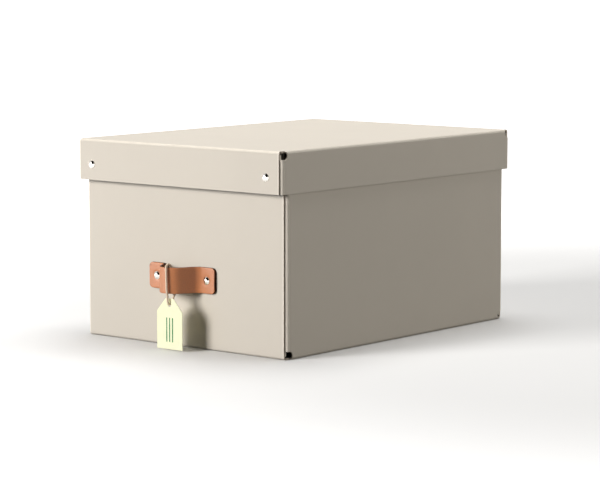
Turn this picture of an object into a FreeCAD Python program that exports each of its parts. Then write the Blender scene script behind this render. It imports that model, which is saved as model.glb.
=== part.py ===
"""Archival storage box: a creased hardboard body, a lift-off lid, a riveted leather handle and a hang tag.

Millimetres, +Z up. The origin is the middle of the base, on the surface that the box stands on.
The handle is on the front, which faces -Y; +X is the right-hand side seen from the front.
"""

import FreeCAD, Part
import math
import os

doc = FreeCAD.newDocument("archival_box")

# ---------------------------------------------------------------------------
# Driving dimensions
# ---------------------------------------------------------------------------

DIMENSIONS = [
    # the board and how it is folded
    ("board", 1.8, "thickness of the laminated hardboard"),
    ("crease_radius", 3.0, "outer radius where a wall turns up from the base or down from the lid"),
    ("fold_radius", 3.5, "outer radius where a side wall turns into its corner flap"),
    ("relief_diameter", 8.4, "round hole punched in a side where its creases cross at a corner"),
    ("relief_middle", 3.9, "middle of that hole below the top of the lid, or above the surface"),
    ("flap_clearance", 0.4, "gap between a flap's lower edge and the crease beside it"),
    # the body
    ("box_width", 263.0, "outside, left to right"),
    ("box_depth", 357.5, "outside, front to rear"),
    ("box_height", 198.2, "from the surface it stands on to the rim"),
    ("box_flap_length", 45.0, "corner flap, measured from its fold"),
    ("rim_relief", 12.0, "how far the flaps stop below the rim"),
    ("side_rim_drop", 1.2, "how far the side walls stop below the rim, clear of the lid's side creases"),
    # the lid
    ("lid_side_gap", 0.5, "between a side wall and the lid's skirt"),
    ("lid_end_gap", 6.7, "between the front wall and the lid's front skirt, when the lid is centred"),
    ("lid_forward", 1.5, "how far the lid sits towards the front"),
    ("skirt_height", 41.0, "from the top of the lid to the lower edge of its skirt"),
    ("lid_flap_length", 40.0, "corner flap, measured from its fold"),
    # the press studs
    ("stud_diameter", 8.4, "domed cap"),
    ("stud_dome", 1.7, "height of the domed cap"),
    ("stud_seat", 1.0, "how deep a socket or a nub is pressed into the board"),
    ("stud_ring", 8.8, "diameter of a socket or a nub"),
    ("stud_shank", 3.2, "diameter of the shank through the board"),
    ("stud_nub", 4.0, "diameter of the nub"),
    ("stud_fit", 0.4, "the socket's bore is this much wider than the nub"),
    ("stud_web", 0.3, "bottom of the socket"),
    ("stud_play", 0.2, "gap between the socket and the nub's disc"),
    ("nub_height", 0.6, "how far the nub stands up from its disc"),
    ("stud_back", 8.0, "diameter of the flat back inside the flap"),
    ("stud_back_height", 0.9, "thickness of the flat back"),
    ("lid_stud_inset", 19.7, "stud's centre from the lid's side"),
    ("lid_stud_drop", 25.2, "stud's centre below the top of the lid"),
    ("box_stud_inset", 33.0, "stud's centre from the body's side"),
    ("box_stud_drop", 22.0, "stud's centre below the rim"),
    # the handle
    ("strap_thickness", 2.8, "leather"),
    ("strap_width", 25.6, "height of the strap on the wall"),
    ("strap_length", 86.0, "end to end along the wall"),
    ("strap_corner", 4.5, "corner radius of the strap's ends"),
    ("strap_bow", 27.3, "from the wall to the strap's outer face at its middle"),
    ("bow_half_width", 28.0, "from the middle to where the strap leaves the wall"),
    ("bow_angle", 60.0, "slope of the strap's flanks, in degrees"),
    ("bow_crown_radius", 14.0, "middle of the strap's thickness, round the crown"),
    ("handle_height", 68.8, "middle of the strap above the surface"),
    ("rivet_spacing", 65.0, "between the two rivets"),
    ("rivet_diameter", 8.0, "domed cap"),
    ("rivet_dome", 1.6, "height of the domed cap"),
    ("rivet_post", 4.0, "outside diameter of the hollow post"),
    ("rivet_pin", 2.4, "diameter of the pin inside the post"),
    ("rivet_clearance", 0.2, "the holes are this much wider than the post"),
    ("washer_diameter", 14.0, "backing washer inside the front wall"),
    ("washer_thickness", 0.8, "backing washer"),
    ("post_head", 9.0, "diameter of the post's flat head"),
    ("post_head_height", 1.0, "thickness of the post's flat head"),
    # the hang tag
    ("tag_width", 33.0, "card"),
    ("tag_length", 50.0, "card"),
    ("tag_thickness", 0.6, "card"),
    ("tag_top_width", 10.0, "between the clipped corners"),
    ("tag_shoulder", 13.0, "height of the clipped corners"),
    ("tag_middle", 5.2, "middle of the card, to the right of the box's middle"),
    ("tag_hole", 4.4, "hole for the cord"),
    ("tag_hole_inset", 6.4, "middle of the hole below the top of the card"),
    ("tag_drop", 23.6, "middle of the hole below the middle of the strap"),
    ("cord_diameter", 2.2, "tan thong"),
    ("cord_knot", 5.2, "diameter of the knot behind the strap"),
]

sheet = doc.addObject("Spreadsheet::Sheet", "Sheet")
for row, (alias, value, meaning) in enumerate(DIMENSIONS, start=1):
    sheet.set(f"A{row}", alias)
    sheet.set(f"B{row}", str(value))
    sheet.set(f"C{row}", meaning)
    sheet.setAlias(f"B{row}", alias)
doc.recompute()


def dim(alias):
    """The value of one driving dimension, for the few shapes that code sets."""
    return float(sheet.get(alias))


def bound(text):
    """An expression on the sheet: every alias in the text gets the sheet's name in front."""
    words = text
    for alias in sorted((name for name, _, _ in DIMENSIONS), key=len, reverse=True):
        words = words.replace(f"<{alias}>", f"Sheet.{alias}")
    return words


# Places that several pieces share, written once
BOX_RIGHT = "<box_width> / 2"
BOX_FRONT = "(-<box_depth> / 2)"
BOX_FOLD_X = "(<box_width> / 2 - <fold_radius>)"
BOX_FOLD_Y = "(-<box_depth> / 2 + <board> + <fold_radius>)"
LID_WIDTH = "(<box_width> + 2 * (<board> + <lid_side_gap>))"
LID_DEPTH = "(<box_depth> + 2 * (<board> + <lid_end_gap>))"
LID_TOP = "(<box_height> + <board>)"
LID_RIGHT = f"({LID_WIDTH} / 2)"
LID_MIDDLE = "(-<lid_forward>)"
LID_FRONT = f"({LID_MIDDLE} - {LID_DEPTH} / 2)"
LID_FOLD_X = f"({LID_WIDTH} / 2 - <fold_radius>)"
LID_FOLD_Y = f"({LID_FRONT} + <board> + <fold_radius>)"
SKIRT_BOTTOM = f"({LID_TOP} - <skirt_height>)"
RELIEF = "<relief_diameter> / 2"
LID_RELIEF_Z = f"({LID_TOP} - <relief_middle>)"
FOLD_INSET = f"(<relief_middle> + {RELIEF})"

X_AXIS = FreeCAD.Rotation(FreeCAD.Vector(0, 0, 1), FreeCAD.Vector(1, 0, 0))
Y_AXIS = FreeCAD.Rotation(FreeCAD.Vector(0, 0, 1), FreeCAD.Vector(0, 1, 0))
FRONT_AXIS = FreeCAD.Rotation(FreeCAD.Vector(0, 0, 1), FreeCAD.Vector(0, -1, 0))
Z_AXIS = FreeCAD.Rotation()

# How far a cutter reaches past the faces it cuts
CUT_MARGIN = 1.0

nodes = []


def node(piece, name, lid=False):
    """Marks a finished object as one sub-part; its label names its file."""
    piece.Label = name
    nodes.append(piece)
    return piece


def place(piece, x, y, z):
    for axis, text in (("x", x), ("y", y), ("z", z)):
        piece.setExpression(f"Placement.Base.{axis}", bound(str(text)))
    return piece


def plate(name, length, width, height, x, y, z):
    """A rectangular block from its lowest corner."""
    block = doc.addObject("Part::Box", name)
    block.setExpression("Length", bound(str(length)))
    block.setExpression("Width", bound(str(width)))
    block.setExpression("Height", bound(str(height)))
    return place(block, x, y, z)


def rod(name, radius, height, rotation, x, y, z, angle=360):
    """A cylinder, or a sector of one, along the rotated Z axis."""
    cylinder = doc.addObject("Part::Cylinder", name)
    cylinder.Placement = FreeCAD.Placement(FreeCAD.Vector(), rotation)
    cylinder.Angle = angle
    cylinder.setExpression("Radius", bound(str(radius)))
    cylinder.setExpression("Height", bound(str(height)))
    return place(cylinder, x, y, z)


def less(name, base, *tools):
    """The base with every tool cut out of it, one cut after the other."""
    for count, tool in enumerate(tools, start=1):
        last = count == len(tools)
        cut = doc.addObject("Part::Cut", name if last else f"{name}_cut_{count}")
        cut.Base = base
        cut.Tool = tool
        base = cut
    return base


def joined(name, *pieces):
    fuse = doc.addObject("Part::MultiFuse", name)
    fuse.Shapes = list(pieces)
    fuse.Refine = True
    return fuse


def mirrored(name, source, normal, middle_y="0"):
    """A copy of the source on the other side of the middle plane."""
    copy = doc.addObject("Part::Mirroring", name)
    copy.Source = source
    copy.Normal = normal
    copy.setExpression("Base.y", bound(middle_y))
    return copy


def left_of(name, source):
    return mirrored(name, source, FreeCAD.Vector(1, 0, 0))


def rear_of(name, source, middle_y="0"):
    return mirrored(name, source, FreeCAD.Vector(0, 1, 0), middle_y)


def group(name, *pieces):
    """Identical pieces that share one node as separate solids."""
    compound = doc.addObject("Part::Compound", name)
    compound.Links = list(pieces)
    return compound


def at_each_corner(name, source, middle_y="0"):
    """The front right piece and its copies at the other three corners."""
    left = left_of(f"{name}_left", source)
    rear = rear_of(f"{name}_rear", source, middle_y)
    rear_left = rear_of(f"{name}_rear_left", left, middle_y)
    return group(name, source, left, rear, rear_left)


def bend(name, radius, length, rotation, x, y, z):
    """A quarter ring of board, one board thick, round an axis through x, y, z."""
    outer = rod(f"{name}_outer", radius, length, rotation, x, y, z, 90)
    inner = rod(f"{name}_inner", f"{radius} - <board>", length, rotation, x, y, z, 90)
    return less(name, outer, inner)


def quarter(axis, start):
    """The rotation that sends a cylinder's Z to the axis and its X to the start of the sector."""
    side = axis.cross(start)
    return FreeCAD.Rotation(start, side, axis, "ZXY")


X = FreeCAD.Vector(1, 0, 0)
Y = FreeCAD.Vector(0, 1, 0)
Z = FreeCAD.Vector(0, 0, 1)

# ---------------------------------------------------------------------------
# Holes that the studs and rivets pass through
# ---------------------------------------------------------------------------

BOX_STUD_X = f"({BOX_RIGHT} - <box_stud_inset>)"
BOX_STUD_Z = "(<box_height> - <box_stud_drop>)"
LID_STUD_X = f"({LID_RIGHT} - <lid_stud_inset>)"
LID_STUD_Z = f"({LID_TOP} - <lid_stud_drop>)"


def stud_hole(name, x, y, z, seat_at):
    """A shank hole through a board whose outer face is at y, with the seat that a ring is pressed into."""
    shank = rod(f"{name}_shank_hole", "<stud_shank> / 2", "<board>", Y_AXIS, x, y, z)
    seat = rod(f"{name}_seat", "<stud_ring> / 2", "<stud_seat>", Y_AXIS, x, seat_at, z)
    return joined(name, shank, seat)


def wall_stud_hole(name, x, front, z):
    """The seat is on the wall's inner face."""
    return stud_hole(name, x, front, z, f"{front} + <board> - <stud_seat>")


def flap_stud_hole(name, x, front, z):
    """The seat is on the flap's outer face."""
    return stud_hole(name, x, f"{front} + <board>", z, f"{front} + <board>")


# ---------------------------------------------------------------------------
# Body: base, four walls and four corner flaps, one creased board
# ---------------------------------------------------------------------------


def flat_panel(name, width, depth, front, z):
    """A horizontal panel between its creases; its corners stay open."""
    return plate(name, f"{width} - 2 * <crease_radius>", f"{depth} - 2 * <crease_radius>", "<board>",
                 f"-{width} / 2 + <crease_radius>", f"{front} + <crease_radius>", z)


def corner_relief(name, fold_x, fold_y, z):
    """The hole punched at a corner, through the side; the fold starts beyond it."""
    return rod(name, RELIEF, "2 * <fold_radius>", X_AXIS, f"{fold_x} - <fold_radius>", fold_y, z)


def corner_flap(name, fold_x, fold_y, fold_bottom, fold_top, flap_bottom, flap_top, length, hole):
    """The rounded vertical fold at the front right corner and the flap that lies behind the front board."""
    fold = bend(f"{name}_fold", "<fold_radius>", f"{fold_top} - {fold_bottom}", quarter(Z, -Y),
                fold_x, fold_y, fold_bottom)
    flap = plate(f"{name}_flap", length, "<board>", f"{flap_top} - {flap_bottom}",
                 f"{fold_x} - {length}", f"{fold_y} - <fold_radius>", flap_bottom)
    return less(name, joined(f"{name}_bare", fold, flap), hole)


node(flat_panel("base_panel", "<box_width>", "<box_depth>", BOX_FRONT, "0"), "base_panel")

box_relief = corner_relief("box_relief", BOX_FOLD_X, BOX_FOLD_Y, "<relief_middle>")
box_relief_rear = rear_of("box_relief_rear", box_relief)

RIVET_X = "<rivet_spacing> / 2"
POST_HOLE = "(<rivet_post> + <rivet_clearance>) / 2"


def upright_wall(name, front, left, right):
    """A wall along X that turns up from the base with its crease."""
    length = f"({right} - {left})"
    sheet_part = plate(f"{name}_plate", length, "<board>", "<box_height> - <crease_radius>",
                       left, front, "<crease_radius>")
    crease = bend(f"{name}_crease", "<crease_radius>", length, quarter(X, -Y),
                  left, f"{front} + <crease_radius>", "<crease_radius>")
    return joined(f"{name}_bare", sheet_part, crease)


wall_stud_right = wall_stud_hole("front_wall_stud_right", BOX_STUD_X, BOX_FRONT, BOX_STUD_Z)
wall_stud_left = left_of("front_wall_stud_left", wall_stud_right)
HANDLE_Z = "<handle_height>"
rivet_hole_right = rod("rivet_hole_right", POST_HOLE, "<board>", Y_AXIS, RIVET_X, BOX_FRONT, HANDLE_Z)
rivet_hole_left = left_of("rivet_hole_left", rivet_hole_right)

front_bare = upright_wall("front_wall", BOX_FRONT, f"-{BOX_FOLD_X}", BOX_FOLD_X)
front_plain = less("front_plain", front_bare, wall_stud_right, wall_stud_left)
rear_wall = node(rear_of("rear_wall", front_plain), "rear_wall")
front_wall = node(less("front_wall", front_plain, rivet_hole_right, rivet_hole_left), "front_wall")

SIDE_PLATE = "(<box_height> - <side_rim_drop> - <crease_radius>)"
side_plate = plate("side_plate", "<board>", f"-2 * {BOX_FOLD_Y}", SIDE_PLATE,
                   f"{BOX_RIGHT} - <board>", BOX_FOLD_Y, "<crease_radius>")
side_crease = bend("side_crease", "<crease_radius>", f"-2 * {BOX_FOLD_Y}", quarter(Y, X),
                   f"{BOX_RIGHT} - <crease_radius>", BOX_FOLD_Y, "<crease_radius>")
right_wall = less("right_wall", joined("side_bare", side_plate, side_crease), box_relief, box_relief_rear)
node(right_wall, "right_wall")
left_wall = node(left_of("left_wall", right_wall), "left_wall")

box_flap_hole = flap_stud_hole("box_flap_hole", BOX_STUD_X, BOX_FRONT, BOX_STUD_Z)
FLAP_BOTTOM = "(<crease_radius> + <flap_clearance>)"
FLAP_TOP = "(<box_height> - <rim_relief>)"
front_right_flap = corner_flap("front_right_flap", BOX_FOLD_X, BOX_FOLD_Y, FOLD_INSET, FLAP_TOP,
                               FLAP_BOTTOM, FLAP_TOP, "<box_flap_length>", box_flap_hole)
node(front_right_flap, "front_right_flap")
front_left_flap = node(left_of("front_left_flap", front_right_flap), "front_left_flap")
node(rear_of("rear_right_flap", front_right_flap), "rear_right_flap")
node(rear_of("rear_left_flap", front_left_flap), "rear_left_flap")

# ---------------------------------------------------------------------------
# Lid: top panel, four skirts and four corner flaps, one creased board
# ---------------------------------------------------------------------------

node(flat_panel("lid_top_panel", LID_WIDTH, LID_DEPTH, LID_FRONT, f"({LID_TOP} - <board>)"), "lid_top_panel")

lid_relief = corner_relief("lid_relief", LID_FOLD_X, LID_FOLD_Y, LID_RELIEF_Z)
lid_relief_rear = rear_of("lid_relief_rear", lid_relief, LID_MIDDLE)
SKIRT_PLATE = "(<skirt_height> - <crease_radius>)"
LID_CREASE_Z = f"({LID_TOP} - <crease_radius>)"

front_skirt_plate = plate("front_skirt_plate", f"2 * {LID_FOLD_X}", "<board>", SKIRT_PLATE,
                          f"-{LID_FOLD_X}", LID_FRONT, SKIRT_BOTTOM)
front_skirt_crease = bend("front_skirt_crease", "<crease_radius>", f"2 * {LID_FOLD_X}", quarter(X, Z),
                          f"-{LID_FOLD_X}", f"{LID_FRONT} + <crease_radius>", LID_CREASE_Z)
skirt_stud_right = wall_stud_hole("skirt_stud_right", LID_STUD_X, LID_FRONT, LID_STUD_Z)
skirt_stud_left = left_of("skirt_stud_left", skirt_stud_right)
lid_front_skirt = less("lid_front_skirt", joined("front_skirt_bare", front_skirt_plate, front_skirt_crease),
                       skirt_stud_right, skirt_stud_left)
node(lid_front_skirt, "lid_front_skirt")
node(rear_of("lid_rear_skirt", lid_front_skirt, LID_MIDDLE), "lid_rear_skirt")

LID_SIDE_LENGTH = f"(2 * ({LID_MIDDLE} - {LID_FOLD_Y}))"
side_skirt_plate = plate("side_skirt_plate", "<board>", LID_SIDE_LENGTH, SKIRT_PLATE,
                         f"{LID_RIGHT} - <board>", LID_FOLD_Y, SKIRT_BOTTOM)
side_skirt_crease = bend("side_skirt_crease", "<crease_radius>", LID_SIDE_LENGTH, quarter(Y, Z),
                         f"{LID_RIGHT} - <crease_radius>", LID_FOLD_Y, LID_CREASE_Z)
lid_right_skirt = less("lid_right_skirt", joined("side_skirt_bare", side_skirt_plate, side_skirt_crease),
                       lid_relief, lid_relief_rear)
node(lid_right_skirt, "lid_right_skirt")
node(left_of("lid_left_skirt", lid_right_skirt), "lid_left_skirt")

lid_flap_hole = flap_stud_hole("lid_flap_hole", LID_STUD_X, LID_FRONT, LID_STUD_Z)
LID_FLAP_TOP = f"({LID_TOP} - <crease_radius> - <flap_clearance>)"
LID_FOLD_TOP = f"({LID_TOP} - {FOLD_INSET})"
lid_front_right_flap = corner_flap("lid_front_right_flap", LID_FOLD_X, LID_FOLD_Y, SKIRT_BOTTOM, LID_FOLD_TOP,
                                   SKIRT_BOTTOM, LID_FLAP_TOP, "<lid_flap_length>", lid_flap_hole)
node(lid_front_right_flap, "lid_front_right_flap")
lid_front_left_flap = node(left_of("lid_front_left_flap", lid_front_right_flap), "lid_front_left_flap")
node(rear_of("lid_rear_right_flap", lid_front_right_flap, LID_MIDDLE), "lid_rear_right_flap")
node(rear_of("lid_rear_left_flap", lid_front_left_flap, LID_MIDDLE), "lid_rear_left_flap")

# ---------------------------------------------------------------------------
# Press studs that hold each flap to its wall: cap and socket on the wall, nub and back on the flap
# ---------------------------------------------------------------------------


def dome(name, diameter, height, x, y, z):
    """A shallow domed cap whose flat face is at y and whose crown points forwards."""
    # a cap of a sphere: the sphere's radius follows from the cap's diameter and height
    sphere_radius = f"((({diameter} / 2) ^ 2 + {height} ^ 2) / (2 * {height}))"
    ball = doc.addObject("Part::Sphere", name)
    ball.Placement = FreeCAD.Placement(FreeCAD.Vector(), FRONT_AXIS)
    ball.setExpression("Radius", bound(sphere_radius))
    ball.setExpression("Angle1", bound(f"asin(({sphere_radius} - {height}) / {sphere_radius})"))
    return place(ball, x, f"{y} + {sphere_radius} - {height}", z)


def press_studs(prefix, x, front, z, middle_y):
    """The four pieces of one press stud, each repeated at the four corners."""
    core = "(<board> - <stud_seat>)"
    cap = joined(f"{prefix}_cap", dome(f"{prefix}_dome", "<stud_diameter>", "<stud_dome>", x, front, z),
                 rod(f"{prefix}_cap_shank", "<stud_shank> / 2", f"{core} + <stud_web>", Y_AXIS, x, front, z))
    ring = rod(f"{prefix}_ring", "<stud_ring> / 2", "<stud_seat>", Y_AXIS, x, f"{front} + {core}", z)
    ring_hole = rod(f"{prefix}_ring_hole", "<stud_shank> / 2", "<board>", Y_AXIS, x, front, z)
    ring_bore = rod(f"{prefix}_ring_bore", "(<stud_nub> + <stud_fit>) / 2", "<stud_seat>", Y_AXIS,
                    x, f"{front} + {core} + <stud_web>", z)
    socket = less(f"{prefix}_socket", ring, ring_hole, ring_bore)
    disc_front = f"({front} + <board> + <stud_play>)"
    disc_height = "(<stud_seat> - <stud_play>)"
    disc = rod(f"{prefix}_disc", "<stud_ring> / 2", disc_height, Y_AXIS, x, disc_front, z)
    boss = rod(f"{prefix}_boss", "<stud_nub> / 2", f"<nub_height> + {disc_height}", Y_AXIS,
               x, f"{disc_front} - <nub_height>", z)
    nub = joined(f"{prefix}_nub", disc, boss)
    flap_inner = f"({front} + 2 * <board>)"
    back_disc = rod(f"{prefix}_back_disc", "<stud_back> / 2", "<stud_back_height>", Y_AXIS, x, flap_inner, z)
    back_shank = rod(f"{prefix}_back_shank", "<stud_shank> / 2", core, Y_AXIS, x, f"{flap_inner} - {core}", z)
    back = joined(f"{prefix}_back", back_disc, back_shank)
    for kind, piece in (("caps", cap), ("sockets", socket), ("nubs", nub), ("backs", back)):
        name = f"{prefix}_{kind}"
        node(at_each_corner(name, piece, middle_y), name)


press_studs("box_stud", BOX_STUD_X, BOX_FRONT, BOX_STUD_Z, "0")
press_studs("lid_stud", LID_STUD_X, LID_FRONT, LID_STUD_Z, LID_MIDDLE)

# ---------------------------------------------------------------------------
# Handle: a leather strap bowed out from the front wall, held by two rivets
# ---------------------------------------------------------------------------


# A deep bow gets a tighter crown, so that its feet keep a radius of their own
CROWN_SHARE = 0.65


def strap_line():
    """Right half of the line along the middle of the strap's thickness, from the crown to the strap's end.

    Depth is measured out from the wall. The crown arc, the straight flank and the foot arc are tangent
    to each other and to the flat end; the flank's length and the foot's radius follow from the bow.
    """
    angle = math.radians(dim("bow_angle"))
    flat = dim("strap_thickness") / 2
    rise = dim("strap_bow") - dim("strap_thickness")
    span = dim("bow_half_width")
    # both radii together: radii * sin + flank * cos = span, and radii * (1 - cos) + flank * sin = rise
    flank = (rise * math.sin(angle) - span * (1 - math.cos(angle))) / (
        math.sin(angle) ** 2 - math.cos(angle) * (1 - math.cos(angle)))
    radii = (span - flank * math.cos(angle)) / math.sin(angle)
    crown = min(dim("bow_crown_radius"), CROWN_SHARE * radii)
    foot = radii - crown
    return angle, crown, foot, flank, flat, rise, span


def strap_outline(offset):
    """Edges of the strap line moved outwards by the offset, from the right end to the left end."""
    angle, crown, foot, flank, flat, rise, span = strap_line()
    wall = -dim("box_depth") / 2

    def point(x, depth):
        return FreeCAD.Vector(x, wall - depth, 0)

    crown_middle = flat + rise - crown
    foot_middle = flat + foot
    big = crown + offset
    small = foot - offset
    end = dim("strap_length") / 2

    def crown_point(turn):
        return point(big * math.sin(turn), crown_middle + big * math.cos(turn))

    def foot_point(turn, side):
        return point(side * (span - small * math.sin(turn)), foot_middle - small * math.cos(turn))

    edges = [Part.LineSegment(point(end, flat + offset), foot_point(0, 1)).toShape()]
    edges.append(Part.Arc(foot_point(0, 1), foot_point(angle / 2, 1), foot_point(angle, 1)).toShape())
    edges.append(Part.LineSegment(foot_point(angle, 1), crown_point(angle)).toShape())
    edges.append(Part.Arc(crown_point(angle), crown_point(0), crown_point(-angle)).toShape())
    edges.append(Part.LineSegment(crown_point(-angle), foot_point(angle, -1)).toShape())
    edges.append(Part.Arc(foot_point(angle, -1), foot_point(angle / 2, -1), foot_point(0, -1)).toShape())
    edges.append(Part.LineSegment(foot_point(0, -1), point(-end, flat + offset)).toShape())
    return edges


def strap_shape():
    half = dim("strap_thickness") / 2
    outer = strap_outline(half)
    inner = strap_outline(-half)
    right_end = Part.LineSegment(inner[0].Vertexes[0].Point, outer[0].Vertexes[0].Point).toShape()
    left_end = Part.LineSegment(outer[-1].Vertexes[1].Point, inner[-1].Vertexes[1].Point).toShape()
    outline = Part.Wire(Part.__sortEdges__(outer + [left_end] + inner + [right_end]))
    ribbon = Part.Face(outline).extrude(FreeCAD.Vector(0, 0, dim("strap_width")))
    ribbon.translate(FreeCAD.Vector(0, 0, dim("handle_height") - dim("strap_width") / 2))
    end_edges = [edge for edge in ribbon.Edges
                 if edge.Length < 1.01 * dim("strap_thickness")
                 and abs(abs(edge.CenterOfMass.x) - dim("strap_length") / 2) < 0.01
                 and abs(edge.Vertexes[0].Z - edge.Vertexes[1].Z) < 0.01]
    ribbon = ribbon.makeFillet(dim("strap_corner"), end_edges)
    for side in (-1, 1):
        x = side * dim("rivet_spacing") / 2
        start = FreeCAD.Vector(x, CUT_MARGIN - dim("box_depth") / 2, dim("handle_height"))
        hole = Part.makeCylinder((dim("rivet_post") + dim("rivet_clearance")) / 2,
                                 dim("strap_thickness") + 2 * CUT_MARGIN, start, -Y)
        ribbon = ribbon.cut(hole)
    return ribbon


strap = doc.addObject("Part::Feature", "handle_strap")
strap.Shape = strap_shape()
node(strap, "handle_strap")

STRAP_FACE = f"({BOX_FRONT} - <strap_thickness>)"
WALL_INNER = f"({BOX_FRONT} + <board>)"
WASHER_INNER = f"({WALL_INNER} + <washer_thickness>)"
PIN_LENGTH = "(<strap_thickness> + <board>)"
POST_LENGTH = "(<strap_thickness> + <board> + <washer_thickness>)"

rivet_head = dome("rivet_head", "<rivet_diameter>", "<rivet_dome>", RIVET_X, STRAP_FACE, HANDLE_Z)
rivet_pin = rod("rivet_pin_rod", "<rivet_pin> / 2", PIN_LENGTH, Y_AXIS, RIVET_X, STRAP_FACE, HANDLE_Z)
rivet_cap = joined("rivet_cap", rivet_head, rivet_pin)
washer_disc = rod("washer_disc", "<washer_diameter> / 2", "<washer_thickness>", Y_AXIS,
                  RIVET_X, WALL_INNER, HANDLE_Z)
washer_hole = rod("washer_hole", POST_HOLE, "<washer_thickness>", Y_AXIS, RIVET_X, WALL_INNER, HANDLE_Z)
washer = less("rivet_washer", washer_disc, washer_hole)
post = less("rivet_post",
            joined("post_bare",
                   rod("post_tube", "<rivet_post> / 2", POST_LENGTH, Y_AXIS, RIVET_X, STRAP_FACE, HANDLE_Z),
                   rod("post_head_disc", "<post_head> / 2", "<post_head_height>", Y_AXIS,
                       RIVET_X, WASHER_INNER, HANDLE_Z)),
            rod("post_bore", "<rivet_pin> / 2", PIN_LENGTH, Y_AXIS, RIVET_X, STRAP_FACE, HANDLE_Z))
for kind, piece in (("handle_rivet_caps", rivet_cap), ("handle_washers", washer), ("handle_rivet_posts", post)):
    node(group(kind, piece, left_of(f"{kind}_left", piece)), kind)

# ---------------------------------------------------------------------------
# Hang tag: a card with clipped corners on a loop of thong, knotted behind the strap
# ---------------------------------------------------------------------------

WALL = -dim("box_depth") / 2
TAG_DEPTH = dim("strap_bow") - dim("strap_thickness") / 2
TAG_HOLE_Z = dim("handle_height") - dim("tag_drop")


def tag_shape():
    half = dim("tag_width") / 2
    top_half = dim("tag_top_width") / 2
    top = TAG_HOLE_Z + dim("tag_hole_inset")
    bottom = top - dim("tag_length")
    shoulder = top - dim("tag_shoulder")
    outline = [(-half, bottom), (half, bottom), (half, shoulder), (top_half, top), (-top_half, top),
               (-half, shoulder)]
    back = WALL - TAG_DEPTH + dim("tag_thickness") / 2
    points = [FreeCAD.Vector(dim("tag_middle") + x, back, z) for x, z in outline]
    card = Part.Face(Part.makePolygon(points + points[:1])).extrude(-Y * dim("tag_thickness"))
    start = FreeCAD.Vector(dim("tag_middle"), back + CUT_MARGIN, TAG_HOLE_Z)
    return card.cut(Part.makeCylinder(dim("tag_hole") / 2, dim("tag_thickness") + 2 * CUT_MARGIN, start, -Y))


# The thong's route, chosen by hand: x, depth behind the bow's outer face, height above the strap's middle.
# It starts at the knot behind the strap, goes over the strap's top edge, down the front, through the card's
# hole and back up to the knot.
CORD_ROUTE = [
    (4.6, 10.6, -4.1),
    (4.2, 9.1, 1.5),
    (3.8, 6.9, 7.9),
    (3.6, 4.6, 15.7),
    (3.4, -1.4, 15.7),
    (3.6, -1.6, 8.5),
    (3.9, -1.7, -0.5),
    (4.3, -1.7, -9.5),
    (4.8, -1.3, -16.0),
    (5.1, -1.1, -22.9),
    (5.2, 3.1, -23.1),
    (4.6, 6.9, -18.5),
    (3.1, 10.9, -13.9),
    (4.6, 11.3, -8.7),
]
KNOT_MIDDLE = (4.9, 11.0, -6.4)


def behind_bow(x, depth, height):
    """A place on the thong's route or at its knot, which both go with the strap."""
    return FreeCAD.Vector(x, WALL - dim("strap_bow") + depth, dim("handle_height") + height)


# How much of the shorter run beside a corner its arc takes
ARC_SHARE = 0.45


def rounded_route(points):
    """A wire of straight runs joined by tangent arcs, and the arcs' radii."""
    edges = []
    radii = []
    last = points[0]
    for before, corner, after in zip(points, points[1:], points[2:]):
        back = (before - corner).normalize()
        ahead = (after - corner).normalize()
        turn = math.pi - back.getAngle(ahead)
        run = min((before - corner).Length, (after - corner).Length)
        tangent = ARC_SHARE * run
        radius = tangent / math.tan(turn / 2)
        radii.append(radius)
        start = corner + back * tangent
        finish = corner + ahead * tangent
        inward = (back + ahead).normalize()
        middle = corner + inward * (radius / math.cos(turn / 2) - radius)
        edges.append(Part.LineSegment(last, start).toShape())
        edges.append(Part.Arc(start, middle, finish).toShape())
        last = finish
    edges.append(Part.LineSegment(last, points[-1]).toShape())
    return Part.Wire(edges), radii


def cord_shape():
    points = [behind_bow(*stop) for stop in CORD_ROUTE]
    wire, radii = rounded_route(points)
    start = wire.Edges[0]
    ring = Part.makeCircle(dim("cord_diameter") / 2, start.Vertexes[0].Point, start.tangentAt(0))
    section = Part.Wire(ring)
    tube = wire.makePipeShell([section], True, False)
    expected = math.pi * dim("cord_diameter") ** 2 / 4 * wire.Length
    print("cord length %.1f, volume %.1f of %.1f expected" % (wire.Length, tube.Volume, expected))
    print("cord radii", [round(radius, 1) for radius in radii])
    return tube


def knot_shape():
    """A plain ball where the two ends of the thong are tied, hollowed where they run in."""
    ball = Part.makeSphere(dim("cord_knot") / 2, behind_bow(*KNOT_MIDDLE))
    return ball.cut(cord.Shape)


tag = doc.addObject("Part::Feature", "tag_card")
tag.Shape = tag_shape()
node(tag, "tag_card")
cord = doc.addObject("Part::Feature", "tag_cord")
cord.Shape = cord_shape()
node(cord, "tag_cord")
knot = doc.addObject("Part::Feature", "tag_knot")
knot.Shape = knot_shape()
node(knot, "tag_knot")

# ---------------------------------------------------------------------------
# Check every object, then write each sub-part
# ---------------------------------------------------------------------------

doc.recompute()
for thing in doc.Objects:
    if {"Invalid", "Error"} & set(thing.State):
        raise RuntimeError(f"{thing.Label} did not compute: {thing.State}")
for piece in nodes:
    if piece.Shape.isNull() or not piece.Shape.isValid():
        raise RuntimeError(f"{piece.Label} has no valid shape")

os.makedirs("parts", exist_ok=True)
for piece in nodes:
    piece.Shape.exportStep(f"parts/{piece.Label}.step")
print(len(nodes), "nodes")
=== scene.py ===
"""Archival storage box: the looks of its board, press studs, leather handle and hang tag, and a pale studio.

Metres, +Z up. The handle is on the front, which faces -Y.
"""

import math

import bmesh
import bpy
from bpy.props import FloatProperty, FloatVectorProperty, PointerProperty
from mathutils import Matrix, Vector


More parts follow.
